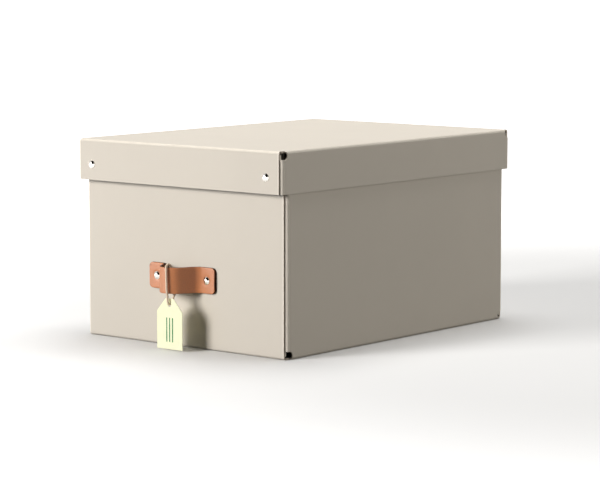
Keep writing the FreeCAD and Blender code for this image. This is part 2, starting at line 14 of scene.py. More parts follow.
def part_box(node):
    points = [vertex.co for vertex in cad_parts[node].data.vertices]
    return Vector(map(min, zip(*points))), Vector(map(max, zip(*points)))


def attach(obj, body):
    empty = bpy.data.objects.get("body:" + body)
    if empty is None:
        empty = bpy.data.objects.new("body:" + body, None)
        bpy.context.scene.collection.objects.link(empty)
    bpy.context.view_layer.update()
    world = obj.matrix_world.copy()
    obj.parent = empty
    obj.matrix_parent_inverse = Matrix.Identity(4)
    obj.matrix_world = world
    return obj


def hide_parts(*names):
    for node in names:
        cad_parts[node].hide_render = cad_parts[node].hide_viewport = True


bl_info = {
    "name": "Archival box looks",
    "version": (1, 0, 0),
    "blender": (4, 5, 0),
    "location": "View3D > Sidebar > Archival box",
    "description": "Board, press studs, leather handle and hang tag of an archival box",
    "category": "Object",
}

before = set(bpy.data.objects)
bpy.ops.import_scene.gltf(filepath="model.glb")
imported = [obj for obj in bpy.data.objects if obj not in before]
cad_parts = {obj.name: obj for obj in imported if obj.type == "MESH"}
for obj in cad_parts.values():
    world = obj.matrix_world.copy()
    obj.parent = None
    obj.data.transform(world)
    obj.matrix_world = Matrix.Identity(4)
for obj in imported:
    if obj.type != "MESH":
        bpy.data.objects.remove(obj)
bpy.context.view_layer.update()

MM = 0.001

# Places and sizes read from the CAD parts
WALL_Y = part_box("front_wall")[0].y
STRAP_LOW, STRAP_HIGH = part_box("handle_strap")
RIVETS_LOW, RIVETS_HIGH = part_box("handle_rivet_caps")
CARD_LOW, CARD_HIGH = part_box("tag_card")
BOX_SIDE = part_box("right_wall")[1].x
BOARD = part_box("base_panel")[1].z
LID_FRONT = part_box("lid_front_skirt")[0].y
LID_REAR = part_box("lid_rear_skirt")[1].y
LID_SIDE, _, LID_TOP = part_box("lid_right_skirt")[1]
CREASE_RADIUS = 3.0 * MM
FOLD_RADIUS = 3.5 * MM


# ---------------------------------------------------------------------------
# Sizes and colours that a user would change
# ---------------------------------------------------------------------------


class BoardSettings(bpy.types.PropertyGroup):
    colour: FloatVectorProperty(
        name="Laminate colour", description="Warm light greige of the laminated board",
        subtype="COLOR", size=3, min=0.0, max=1.0, default=(0.690, 0.634, 0.552))
    core: FloatVectorProperty(
        name="Core colour", description="Cut edges of the board",
        subtype="COLOR", size=3, min=0.0, max=1.0, default=(0.640, 0.570, 0.480))
    # painted shade: the inside faces are given a near-black colour, seen through the corner holes
    inside: FloatVectorProperty(
        name="Inside colour", description="Painted shade on the inside faces, near black with a brown cast",
        subtype="COLOR", size=3, min=0.0, max=1.0, default=(0.036, 0.030, 0.025))
    roughness: FloatProperty(
        name="Roughness", description="Satin of the laminate", default=0.52, min=0.0, max=1.0)
    groove: FloatProperty(
        name="Score width", description="Width of the scored line beside each crease",
        subtype="DISTANCE", default=0.7 * MM, min=0.0)


class HandleSettings(bpy.types.PropertyGroup):
    colour: FloatVectorProperty(
        name="Leather colour", description="Cognac leather, grain side",
        subtype="COLOR", size=3, min=0.0, max=1.0, default=(0.600, 0.215, 0.078))
    edge: FloatVectorProperty(
        name="Edge colour", description="Burnished cut edge of the strap",
        subtype="COLOR", size=3, min=0.0, max=1.0, default=(0.045, 0.012, 0.005))
    crown_radius: FloatProperty(
        name="Crown radius", description="Middle of the strap's thickness, round the crown of the bow",
        subtype="DISTANCE", default=14.0 * MM, min=0.0)
    bow_angle: FloatProperty(
        name="Flank slope", description="Slope of the bow's flanks from the wall",
        subtype="ANGLE", default=math.radians(60.0))
    bow_half_width: FloatProperty(
        name="Bow half width", description="From the middle to where the strap leaves the wall",
        subtype="DISTANCE", default=28.0 * MM, min=0.0)
    thickness: FloatProperty(
        name="Strap thickness", description="Leather thickness", subtype="DISTANCE",
        default=2.8 * MM, min=0.0)
    corner: FloatProperty(
        name="End corner", description="Corner radius of the strap's ends",
        subtype="DISTANCE", default=4.5 * MM, min=0.0)


class TagSettings(bpy.types.PropertyGroup):
    card: FloatVectorProperty(
        name="Card colour", description="Cream card", subtype="COLOR", size=3, min=0.0, max=1.0,
        default=(0.970, 0.975, 0.690))
    # painted light: the card glows a little in its own colour
    painted_glow: FloatProperty(
        name="Painted glow", description="Painted glow that lifts the card above its lit brightness", default=0.08, min=0.0)
    ink: FloatVectorProperty(
        name="Ruling colour", description="Green ruled lines on the card", subtype="COLOR", size=3,
        min=0.0, max=1.0, default=(0.020, 0.230, 0.080))
    thong: FloatVectorProperty(
        name="Thong colour", description="Thin tan thong", subtype="COLOR", size=3, min=0.0, max=1.0,
        default=(0.950, 0.760, 0.580))
    thong_diameter: FloatProperty(
        name="Thong diameter", description="Thickness of the thong", subtype="DISTANCE",
        default=2.2 * MM, min=0.0)


class StageSettings(bpy.types.PropertyGroup):
    key_power: FloatProperty(
        name="Key light", description="Soft light from the left front, not seen in glossy surfaces",
        subtype="POWER", default=209.0, min=0.0)
    sheen_power: FloatProperty(
        name="Sheen light", description="Seen only in glossy surfaces",
        subtype="POWER", default=150.0, min=0.0)
    top_power: FloatProperty(
        name="Top light", description="Broad light from above",
        subtype="POWER", default=41.0, min=0.0)
    fill_power: FloatProperty(
        name="Fill light", description="Weak light from the right",
        subtype="POWER", default=90.0, min=0.0)
    ambient: FloatProperty(name="Ambient", description="Even light from all round", default=0.07, min=0.0)


# ---------------------------------------------------------------------------
# Shader helpers
# ---------------------------------------------------------------------------


class Shader:
    """A material's node tree, with one short call for each kind of node that the finishes need."""

    def __init__(self, name):
        self.material = bpy.data.materials.new(name)
        self.material.use_nodes = True
        self.tree = self.material.node_tree
        self.surface = self.tree.nodes["Principled BSDF"]
        self.coordinates = self.tree.nodes.new("ShaderNodeTexCoord")

    def plug(self, socket, value):
        """Links a socket to another node's output, or sets it to a number or a colour."""
        if isinstance(value, bpy.types.NodeSocket):
            self.tree.links.new(value, socket)
        else:
            socket.default_value = value

    def maths(self, operation, first, second=0.0, third=0.0):
        node = self.tree.nodes.new("ShaderNodeMath")
        node.operation = operation
        for socket, value in zip(node.inputs, (first, second, third)):
            self.plug(socket, value)
        return node.outputs[0]

    def parts(self, vector):
        node = self.tree.nodes.new("ShaderNodeSeparateXYZ")
        self.plug(node.inputs[0], vector)
        return node.outputs

    def distance(self, first, second):
        """How far a place is from the origin of a plane, from its two coordinates."""
        squares = [self.maths("MULTIPLY", part, part) for part in (first, second)]
        return self.maths("SQRT", self.maths("ADD", *squares))

    def stretched(self, scale):
        """Object coordinates, stretched for a pattern with a direction."""
        node = self.tree.nodes.new("ShaderNodeMapping")
        node.inputs["Scale"].default_value = scale
        self.plug(node.inputs["Vector"], self.coordinates.outputs["Object"])
        return node.outputs[0]

    def noise(self, scale, detail=3.0, roughness=0.5, vector=None):
        node = self.tree.nodes.new("ShaderNodeTexNoise")
        node.inputs["Scale"].default_value = scale
        node.inputs["Detail"].default_value = detail
        node.inputs["Roughness"].default_value = roughness
        self.plug(node.inputs["Vector"], vector or self.coordinates.outputs["Object"])
        return node.outputs["Fac"]

    def cells(self, scale, feature="F1", vector=None):
        node = self.tree.nodes.new("ShaderNodeTexVoronoi")
        node.feature = feature
        node.inputs["Scale"].default_value = scale
        self.plug(node.inputs["Vector"], vector or self.coordinates.outputs["Object"])
        return node.outputs["Distance"]

    def ramp(self, value, low, high, out_low=0.0, out_high=1.0):
        """The value moved smoothly from one range to another."""
        node = self.tree.nodes.new("ShaderNodeMapRange")
        node.interpolation_type = "SMOOTHSTEP"
        for name, number in (("Value", value), ("From Min", low), ("From Max", high),
                             ("To Min", out_low), ("To Max", out_high)):
            self.plug(node.inputs[name], number)
        return node.outputs["Result"]

    def mix(self, amount, first, second):
        node = self.tree.nodes.new("ShaderNodeMix")
        node.data_type = "RGBA"
        self.plug(node.inputs["Factor"], amount)
        for socket, value in zip((node.inputs[6], node.inputs[7]), (first, second)):
            self.plug(socket, (*value, 1.0) if isinstance(value, (tuple, list)) else value)
        return node.outputs[2]

    def bump(self, height, distance, strength=1.0, below=None):
        node = self.tree.nodes.new("ShaderNodeBump")
        node.inputs["Strength"].default_value = strength
        node.inputs["Distance"].default_value = distance
        self.plug(node.inputs["Height"], height)
        if below is not None:
            self.plug(node.inputs["Normal"], below)
        return node.outputs[0]

    def finish(self, colour, roughness, normal=None, **plain):
        """Wires the surface; plain values go straight onto the shader's own sockets."""
        self.plug(self.surface.inputs["Base Color"], colour)
        self.plug(self.surface.inputs["Roughness"], roughness)
        if normal is not None:
            self.plug(self.surface.inputs["Normal"], normal)
        for name, value in plain.items():
            self.surface.inputs[name.replace("_", " ")].default_value = value
        return self.material


def shade(colour, factor):
    return tuple(channel * factor for channel in colour)


# ---------------------------------------------------------------------------
# Finishes
# ---------------------------------------------------------------------------


def board_finish(name, settings, cut_edge, scores, ink_wear_and_painted_highlights=()):
    """Satin laminate on hardboard: paper grain, faint mottling, uncovered core on cut edges, scored crease
    lines, painted highlights and a painted inner shade.

    cut_edge(shader, normal, place) says where the board's core shows. scores are (axis, middle, distance),
    each a line on both sides of the middle. ink_wear_and_painted_highlights are (axis, end, width, amount),
    each a painted highlight: paler within the width of a panel's end on either side, where light catches a
    fold or a crease. Faces that look towards the middle of the box get a near-black painted shade.
    """
    shader = Shader(name)
    normal = shader.parts(shader.coordinates.outputs["Normal"])
    place = shader.parts(shader.coordinates.outputs["Object"])

    mottle = shader.ramp(shader.noise(9.0, 4.0, 0.6), 0.3, 0.7)
    fibre = shader.noise(1400.0, 2.0, 0.6, shader.stretched((1.0, 0.35, 1.0)))
    flecks = shader.ramp(shader.noise(620.0, 2.0, 0.7), 0.56, 0.80)
    colour = tuple(settings.colour)
    laminate = shader.mix(mottle, shade(colour, 0.985), shade(colour, 1.012))
    laminate = shader.mix(shader.maths("MULTIPLY", flecks, 0.10), laminate, shade(colour, 0.86))

    # painted highlight: near a fold or the top crease the laminate is made paler, standing in for light that
    # the curve catches
    for axis, end, width, amount in ink_wear_and_painted_highlights:
        from_end = shader.maths("SUBTRACT", end, shader.maths("ABSOLUTE", place[axis]))
        painted_highlight = shader.ramp(from_end, 0.5 * width, width, amount, 0.0)
        laminate = shader.mix(painted_highlight, laminate, shade(colour, 1.3))

    # negative where a face looks back towards the middle of the box
    from_middle = (place[0], place[1], shader.maths("SUBTRACT", place[2], LID_TOP / 2))
    outward = [shader.maths("MULTIPLY", *pair) for pair in zip(normal, from_middle)]
    outward = shader.maths("ADD", shader.maths("ADD", outward[0], outward[1]), outward[2])
    # painted shade: faces that look towards the middle of the box turn near black, so the inside reads dark
    # through the corner holes
    inside = shader.ramp(outward, -12 * MM, -4 * MM, 1.0, 0.0)
    inside_shade_colour = tuple(settings.inside)
    inside_shade = shader.mix(shader.noise(700.0, 4.0, 0.7), shade(inside_shade_colour, 0.75), shade(inside_shade_colour, 1.35))
    laminate = shader.mix(inside, laminate, inside_shade)

    core_colour = tuple(settings.core)
    core = shader.mix(shader.noise(2600.0, 3.0, 0.7), shade(core_colour, 0.82), shade(core_colour, 1.10))
    edge = cut_edge(shader, normal, place)
    colour_out = shader.mix(edge, laminate, core)

    height = shader.maths("MULTIPLY", fibre, 0.35)
    for axis, middle, distance in scores:
        from_middle = shader.maths("ABSOLUTE", shader.maths("SUBTRACT", place[axis], middle))
        from_score = shader.maths("ABSOLUTE", shader.maths("SUBTRACT", from_middle, distance))
        dip = shader.ramp(from_score, 0.0, settings.groove, -1.0, 0.0)
        height = shader.maths("ADD", height, shader.maths("MULTIPLY", dip, 6.0))
    grain = shader.bump(height, 0.035 * MM, 0.55)
    rough = shader.ramp(fibre, 0.3, 0.7, settings.roughness - 0.05, settings.roughness + 0.06)
    rough = shader.maths("ADD", rough, shader.maths("MULTIPLY", edge, 0.25))
    return shader.finish(colour_out, rough, grain, Specular_IOR_Level=0.35)


def side_panel(low, high):
    """A side panel's cut edges face away from X; between the two heights, so that creases stay covered."""

    def mask(shader, normal, place):
        facing = shader.ramp(shader.maths("ABSOLUTE", normal[0]), 0.2, 0.35, 1.0, 0.0)
        above = shader.ramp(place[2], low, low + 0.2 * MM)
        below = shader.ramp(place[2], high - 0.2 * MM, high, 1.0, 0.0)
        return shader.maths("MULTIPLY", facing, shader.maths("MULTIPLY", above, below))

    return mask


def upright_fold(shader, normal, place):
    """A fold and its flap stand upright, so whatever faces up or down is cut."""
    return shader.ramp(shader.maths("ABSOLUTE", normal[2]), 0.25, 0.40)


def level_panel(shader, normal, place):
    """A level panel's cut edges face sideways."""
    return shader.ramp(shader.maths("ABSOLUTE", normal[2]), 0.2, 0.35, 1.0, 0.0)


def metal_finish(name, colour, roughness, brushed):
    """Nickel plate: faint polishing marks and a little uneven gloss."""
    shader = Shader(name)
    marks = shader.noise(900.0, 3.0, 0.6, shader.stretched((1.0, 1.0, 0.15)))
    patches = shader.ramp(shader.noise(260.0, 2.0), 0.35, 0.65)
    tint = shader.mix(patches, shade(colour, 0.95), colour)
    gloss = shader.ramp(marks, 0.3, 0.7, roughness, roughness + brushed)
    return shader.finish(tint, gloss, shader.bump(marks, 0.004 * MM, 0.3), Metallic=1.0)


def polished_nickel(name):
    return metal_finish(name, (0.93, 0.90, 0.84), 0.06, 0.05)


def dull_nickel(name):
    return metal_finish(name, (0.72, 0.71, 0.69), 0.28, 0.15)


def leather_finish(settings, rivets):
    """Smooth vegetable-tanned grain: pores with creases round them, cloudy dye, dents round the rivets."""
    shader = Shader("cognac_leather")
    place = shader.parts(shader.coordinates.outputs["Object"])
    cloud = shader.ramp(shader.noise(60.0, 4.0, 0.6), 0.3, 0.7)
    fine = shader.noise(900.0, 4.0, 0.65)
    pores = shader.ramp(shader.cells(1500.0), 0.0, 0.35)
    wrinkles = shader.ramp(shader.cells(620.0, "DISTANCE_TO_EDGE"), 0.0, 0.12)
    colour = tuple(settings.colour)
    dye = shader.mix(cloud, shade(colour, 0.90), shade(colour, 1.06))
    dye = shader.mix(shader.ramp(fine, 0.35, 0.75), shade(colour, 0.90), dye)
    dye = shader.mix(shader.ramp(pores, 0.0, 0.5, 0.35, 0.0), dye, shade(colour, 0.45))
    dent = None
    rivet_level = (RIVETS_LOW.z + RIVETS_HIGH.z) / 2
    for x in rivets:
        beside = shader.maths("SUBTRACT", place[0], x)
        above = shader.maths("SUBTRACT", place[2], rivet_level)
        ring = shader.ramp(shader.distance(beside, above), 4.0 * MM, 6.5 * MM)
        dent = ring if dent is None else shader.maths("MULTIPLY", dent, ring)
    soft = shader.bump(dent, 0.35 * MM, 0.7)
    relief = shader.maths("MULTIPLY", wrinkles, 0.6)
    for pattern in (pores, fine):
        relief = shader.maths("ADD", relief, shader.maths("MULTIPLY", pattern, 0.5))
    normal = shader.bump(relief, 0.05 * MM, 0.5, soft)
    rough = shader.ramp(fine, 0.3, 0.7, 0.40, 0.52)
    return shader.finish(dye, rough, normal, Specular_IOR_Level=0.85)


def leather_edge_finish(settings):
    """Burnished and dyed cut edge, with the fibres showing as fine lines."""
    shader = Shader("burnished_edge")
    fibres = shader.noise(2200.0, 3.0, 0.6, shader.stretched((0.3, 1.0, 0.3)))
    colour = tuple(settings.edge)
    tone = shader.mix(shader.ramp(fibres, 0.35, 0.7), shade(colour, 0.7), shade(colour, 1.5))
    rough = shader.ramp(fibres, 0.3, 0.7, 0.60, 0.75)
    return shader.finish(tone, rough, shader.bump(fibres, 0.05 * MM, 0.5), Specular_IOR_Level=0.08)


def flesh_finish(settings):
    """The strap's rough back, darkened as painted shade for the gap inside the bow."""
    shader = Shader("leather_back_painted_shade")
    nap = shader.noise(1600.0, 5.0, 0.75)
    # painted shade: the back is kept at 0.30 of the grain colour, standing in for the shade between the
    # strap and the wall
    colour = shade(tuple(settings.colour), 0.30)
    tone = shader.mix(shader.ramp(nap, 0.3, 0.7), shade(colour, 0.75), shade(colour, 1.2))
    return shader.finish(tone, 0.9, shader.bump(nap, 0.12 * MM, 0.8), Specular_IOR_Level=0.05)


def card_finish(settings, middle, low, high):
    """Cream card with soft fibres and three ruled lines to write on."""
    shader = Shader("cream_card")
    place = shader.parts(shader.coordinates.outputs["Object"])
    fibre = shader.noise(1300.0, 4.0, 0.7)
    cloud = shader.ramp(shader.noise(120.0, 3.0), 0.3, 0.7)
    colour = tuple(settings.card)
    paper = shader.mix(cloud, shade(colour, 0.975), shade(colour, 1.01))
    paper = shader.mix(shader.ramp(fibre, 0.55, 0.85, 0.0, 0.25), paper, shade(colour, 0.88))
    spacing = 3.8 * MM
    half_line = 0.60 * MM
    ends = shader.maths("MULTIPLY", shader.ramp(place[2], low, low + 0.3 * MM),
                        shader.ramp(place[2], high - 0.3 * MM, high, 1.0, 0.0))
    rules = None
    for step in (-1, 0, 1):
        away = shader.maths("ABSOLUTE", shader.maths("SUBTRACT", place[0], middle + step * spacing))
        line = shader.ramp(away, half_line, half_line + 0.12 * MM, 1.0, 0.0)
        rules = line if rules is None else shader.maths("MAXIMUM", rules, line)
    normal = shader.parts(shader.coordinates.outputs["Normal"])
    front = shader.ramp(normal[1], -0.7, -0.5, 1.0, 0.0)
    printed = shader.maths("MULTIPLY", shader.maths("MULTIPLY", rules, ends), front)
    ink_wear_and_painted_highlights = shader.ramp(fibre, 0.30, 0.50, 0.80, 1.0)
    colour_out = shader.mix(shader.maths("MULTIPLY", printed, ink_wear_and_painted_highlights), paper, tuple(settings.ink))
    # painted light: the card glows in its own colours, so it reads brighter than the lamps make it
    shader.plug(shader.surface.inputs["Emission Color"], colour_out)
    shader.surface.inputs["Emission Strength"].default_value = settings.painted_glow
    return shader.finish(colour_out, 0.82, shader.bump(fibre, 0.04 * MM, 0.6), Specular_IOR_Level=0.25)


def thong_finish(settings):
    """Thin round thong: lengthwise fibres and a slightly waxy gloss."""
    shader = Shader("tan_thong")
    fibres = shader.noise(900.0, 4.0, 0.7, shader.stretched((1.0, 1.0, 0.12)))
    colour = tuple(settings.thong)
    tone = shader.mix(shader.ramp(fibres, 0.3, 0.7), shade(colour, 0.80), shade(colour, 1.08))
    return shader.finish(tone, 0.55, shader.bump(fibres, 0.08 * MM, 0.7), Specular_IOR_Level=0.4)


# ---------------------------------------------------------------------------
# Mesh helpers
# ---------------------------------------------------------------------------


def piece_from(bm, name, *materials, smooth=True):
    """A finished piece whose object sits at the origin."""
    mesh = bpy.data.meshes.new(name)
    bm.to_mesh(mesh)
    bm.free()
    for polygon in mesh.polygons:
        polygon.use_smooth = smooth
    for material in materials:
        mesh.materials.append(material)
    piece = bpy.data.objects.new(name, mesh)
    bpy.context.scene.collection.objects.link(piece)
    return piece


def paint(node, material):
    """Gives a CAD node a better finish."""
    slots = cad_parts[node].data.materials
    slots.clear()
    slots.append(material)


def turned(bm, profile, steps=40):
    """Turns a profile of (radius, height) points about the Z axis."""
    points = [bm.verts.new((radius, 0.0, height)) for radius, height in profile]
    lines = [bm.edges.new(pair) for pair in zip(points, points[1:])]
    bmesh.ops.spin(bm, geom=points + lines, cent=(0, 0, 0), axis=(0, 0, 1), dvec=(0, 0, 0),
                   angle=2 * math.pi, steps=steps, use_merge=True, use_duplicate=False)


def cut_across(bm, axis, first, spacing, count):
    """Divides the faces along evenly spaced planes across an axis, so that they can bend."""
    for number in range(count):
        place = Vector((0.0, 0.0, 0.0))
        place[axis] = first + number * spacing
        way = Vector((0.0, 0.0, 0.0))
        way[axis] = 1.0
        bmesh.ops.bisect_plane(bm, geom=bm.verts[:] + bm.edges[:] + bm.faces[:],
                               plane_co=place, plane_no=way, dist=1e-7)


# The domed caps stay just inside the solids that they stand for
CAP_FIT = 0.995
STUD_RISE = 1.68 * MM
RIVET_RISE = 1.58 * MM


def domed_caps(name, places, radius, height, material):
    """Press-stud or rivet caps: a shallow dome, a rolled rim and a neat undercut where it meets the surface.

    places are (point on the surface, outward direction) pairs.
    """
    whole = bmesh.new()
    roll_radius = 0.128 * height
    dome_radius = 0.95 * radius
    foot_radius = 0.80 * radius
    dome_rise = height - 2 * roll_radius
    sphere = (dome_radius ** 2 + dome_rise ** 2) / (2 * dome_rise)
    slope = math.asin(dome_radius / sphere)
    crown_steps = 12
    crown_turns = [slope * step / crown_steps for step in range(crown_steps + 1)]
    crown = [(sphere * math.sin(turn), height - sphere * (1 - math.cos(turn))) for turn in crown_turns]
    rim_turns = [math.radians(degrees) for degrees in (30, 60, 90, 130)]
    rim = [(dome_radius + (radius - dome_radius) * math.sin(turn), roll_radius * (1 + math.cos(turn)))
           for turn in rim_turns]
    for point, outward in places:
        bm = bmesh.new()
        turned(bm, crown + rim + [(foot_radius, 0.0), (0.0, 0.0)])
        bmesh.ops.remove_doubles(bm, verts=bm.verts, dist=1e-6)
        bmesh.ops.recalc_face_normals(bm, faces=bm.faces)
        facing = Vector(outward).to_track_quat("Z", "Y").to_matrix().to_4x4()
        bmesh.ops.transform(bm, matrix=Matrix.Translation(point) @ facing, verts=bm.verts)
        mesh = bpy.data.meshes.new("cap")
        bm.to_mesh(mesh)
        bm.free()
        whole.from_mesh(mesh)
        bpy.data.meshes.remove(mesh)
    return piece_from(whole, name, material)


def corner_places(caps_node, front_y, rear_y):
    """Where the four domed caps of a group sit: on the front face and on the rear face."""
    low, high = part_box(caps_node)
    radius = (high.z - low.z) / 2
    level = (high.z + low.z) / 2
    places = []
    for x in (low.x + radius, high.x - radius):
        places.append((Vector((x, front_y, level)), Vector((0, -1, 0))))
        places.append((Vector((x, rear_y, level)), Vector((0, 1, 0))))
    return places, radius


# ---------------------------------------------------------------------------
# Operators
# ---------------------------------------------------------------------------


class ARCHIVAL_OT_camera(bpy.types.Operator):
    """Adds the camera, right of the front and a little above the lid"""

    bl_idname = "archival.camera"
    bl_label = "Camera"

    def execute(self, context):
        camera = bpy.data.objects.new("camera", bpy.data.cameras.new("camera"))
        camera.data.lens = 150.2
        camera.data.sensor_width = 36.0
        camera.data.clip_start = 0.1
        camera.data.clip_end = 200.0
        camera.location = (1.6370, -1.9817, 0.3914)
        yaw = math.radians(39.55)
        down = math.radians(6.75)
        camera.rotation_euler = (math.pi / 2 - down, 0.0, yaw)
        context.scene.collection.objects.link(camera)
        context.scene.camera = camera
        return {"FINISHED"}


# The thong's route, in mm: x, depth behind the bow's outer face, height above the
# strap's middle
THONG_ROUTE = (
    (4.6, 10.6, -4.1),
    (4.2, 9.1, 1.5),
    (3.8, 6.9, 7.9),
    (3.6, 4.6, 15.7),
    (3.4, -1.4, 15.7),
    (3.6, -1.6, 8.5),
    (3.9, -1.7, -0.5),
    (4.3, -1.7, -9.5),
    (4.8, -1.3, -16.0),
    (5.1, -1.1, -22.9),
    (5.2, 3.1, -23.1),
    (4.6, 6.9, -18.5),
    (3.1, 10.9, -13.9),
    (4.6, 11.3, -8.7),
)


def tube(name, points, radius, material, cyclic=False):
    """A smooth tube along control points."""
    curve = bpy.data.curves.new(name, "CURVE")
    curve.dimensions = "3D"
    curve.bevel_depth = radius
    curve.bevel_resolution = 6
    curve.resolution_u = 8
    curve.use_fill_caps = True
    spline = curve.splines.new("NURBS")
    spline.points.add(len(points) - 1)
    for point, place in zip(spline.points, points):
        point.co = (*place, 1.0)
    spline.use_cyclic_u = cyclic
    spline.order_u = 3
    spline.use_endpoint_u = not cyclic
    curve.materials.append(material)
    piece = bpy.data.objects.new(name, curve)
    bpy.context.scene.collection.objects.link(piece)
    return piece


class ARCHIVAL_OT_tag(bpy.types.Operator):
    """Makes the hang tag: its thong, the knot behind the strap and the cream card"""

    bl_idname = "archival.tag"
    bl_label = "Hang tag"

    def execute(self, context):
        settings = context.scene.archival_tag
        leather = thong_finish(settings)
        strap_middle = (STRAP_LOW.z + STRAP_HIGH.z) / 2
        route = [Vector((x * MM, STRAP_LOW.y + depth * MM, strap_middle + height * MM))
                 for x, depth, height in THONG_ROUTE]
        thong = tube("tag_thong", route, settings.thong_diameter / 2, leather)
        knot = self.knot(settings, leather)
        card = self.card(settings)
        for piece, node in ((thong, "tag_cord"), (knot, "tag_knot"), (card, "tag_card")):
            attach(piece, "tag")
            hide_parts(node)
        return {"FINISHED"}

    def knot(self, settings, material):
        """An overhand knot: a trefoil of the same thong, pulled small."""
        low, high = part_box("tag_knot")
        middle = (low + high) / 2
        pulled_thin = 0.72
        flattened = 0.62
        steps = 18
        radius = settings.thong_diameter / 2 * pulled_thin
        reach = (high.x - low.x) / 2 - radius
        points = []
        for step in range(steps):
            turn = 2 * math.pi * step / steps
            swing = (2.0 + math.cos(3 * turn)) / 3.0 * reach
            depth = flattened * reach * math.sin(3 * turn)
            points.append(middle + Vector((swing * math.cos(2 * turn), depth, swing * math.sin(2 * turn))))
        return tube("tag_thong_knot", points, radius, material, cyclic=True)

    def card(self, settings):
        """Clipped corners, a punched hole and a slight curl."""
        low, high = CARD_LOW, CARD_HIGH
        middle = (low.x + high.x) / 2
        half = (high.x - low.x) / 2
        top_half = 5.0 * MM
        shoulder = high.z - 13.0 * MM
        hole = Vector((middle, low.y, high.z - 6.4 * MM))
        hole_radius = 2.2 * MM
        rules_low = low.z + 7.0 * MM
        rules_high = low.z + 31.0 * MM
        thickness = high.y - low.y
        bm = bmesh.new()
        outline = ((-half, low.z), (half, low.z), (half, shoulder), (top_half, high.z), (-top_half, high.z),
                   (-half, shoulder))
        bm.faces.new([bm.verts.new((middle + x, low.y, z)) for x, z in outline])
        bmesh.ops.bevel(bm, geom=list(bm.verts), offset=0.8 * MM, segments=4, profile=0.5, affect="VERTICES",
                        material=-1)
        step = 1.5 * MM
        cut_across(bm, 2, low.z + step, step, int((high.z - low.z) / step) - 1)
        cut_across(bm, 0, middle - half + step, step, int(2 * half / step) - 1)
        self.punch(bm, hole, hole_radius)
        bmesh.ops.solidify(bm, geom=bm.faces[:], thickness=thickness * 0.8)
        bmesh.ops.recalc_face_normals(bm, faces=bm.faces)
        curl = 0.10 * thickness
        for vert in bm.verts:
            across_card = (vert.co.x - middle) / half
            vert.co.y += curl * across_card ** 2
        shift = (low.y + high.y) / 2 - sum(vert.co.y for vert in bm.verts) / len(bm.verts)
        bmesh.ops.translate(bm, vec=(0, shift, 0), verts=bm.verts)
        return piece_from(bm, "tag_card_printed", card_finish(settings, middle, rules_low, rules_high),
                          smooth=False)

    def punch(self, bm, hole, radius):
        """Opens a round hole: faces inside it go, and the vertices round the gap are drawn to the circle."""
        inside = [face for face in bm.faces if (face.calc_center_median() - hole).length < radius]
        bmesh.ops.delete(bm, geom=inside, context="FACES")
        near = 2.2 * radius
        for vert in bm.verts:
            away = Vector((vert.co.x - hole.x, 0.0, vert.co.z - hole.z))
            if vert.is_boundary and away.length < near:
                away.normalize()
                vert.co.x = hole.x + away.x * radius
                vert.co.z = hole.z + away.z * radius


# How far the scored line lies from the curve of a crease or a fold, and the widths of the painted highlight
# strips
SCORE_GAP = 0.4 * MM
FOLD_SCORE_GAP = 0.3 * MM
PAINTED_HIGHLIGHT_FOLD = 1.6 * MM
PAINTED_HIGHLIGHT_TOP = 2.6 * MM


